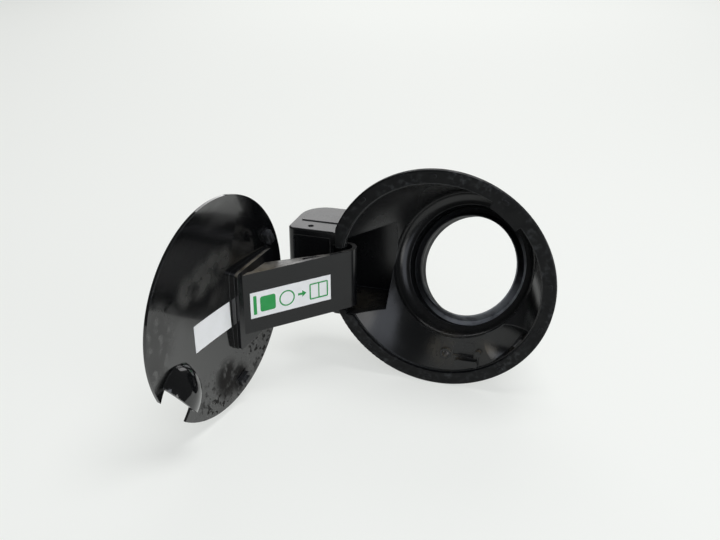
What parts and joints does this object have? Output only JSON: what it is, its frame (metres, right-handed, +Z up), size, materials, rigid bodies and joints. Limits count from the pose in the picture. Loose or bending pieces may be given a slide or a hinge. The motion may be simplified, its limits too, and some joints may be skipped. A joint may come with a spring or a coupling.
{
  "type": "car fuel door with filler bowl",
  "caption": "Round car fuel door on a gooseneck arm that swings from a hinge pocket in a flanged filler bowl with a tilted neck opening.",
  "frame": {"origin": "centre of the bowl's flange, on its back face where it seats on the body", "axes": "+X to the side away from the hinge, +Y into the car body, +Z up and along the hinge axis"},
  "size_m": [0.2192, 0.2318, 0.16],
  "materials": {
    "bowl_plastic": "satin moulded polypropylene",
    "soft_seal": "matte soft elastomer",
    "neck_rubber": "satin rubber",
    "clip_plastic": "satin moulded plastic",
    "steel": "plain steel",
    "arm_plastic": "satin moulded plastic",
    "door_plastic": "gloss black moulded panel, scuffed",
    "buffer_rubber": "moulded rubber",
    "sticker": "printed film"
  },
  "bodies": {
    "bowl": {"filler_bowl": "bowl_plastic", "flange_seal": "soft_seal", "neck_seal": "neck_rubber", "catch": "clip_plastic", "hinge_pin": "steel", "detent_spring": "steel"},
    "door": {"hinge_arm": "arm_plastic", "door_panel": "door_plastic", "upper_buffer": "buffer_rubber", "lower_buffer": "buffer_rubber", "arm_label": "sticker", "door_label": "sticker"}
  },
  "joints": [
    {"name": "door_hinge", "type": "hinge", "parent": "bowl", "child": "door", "pos_m": [-0.096, 0.007, 0], "axis": [0, 0, 1], "range_deg": [0, 99.35]}
  ]
}
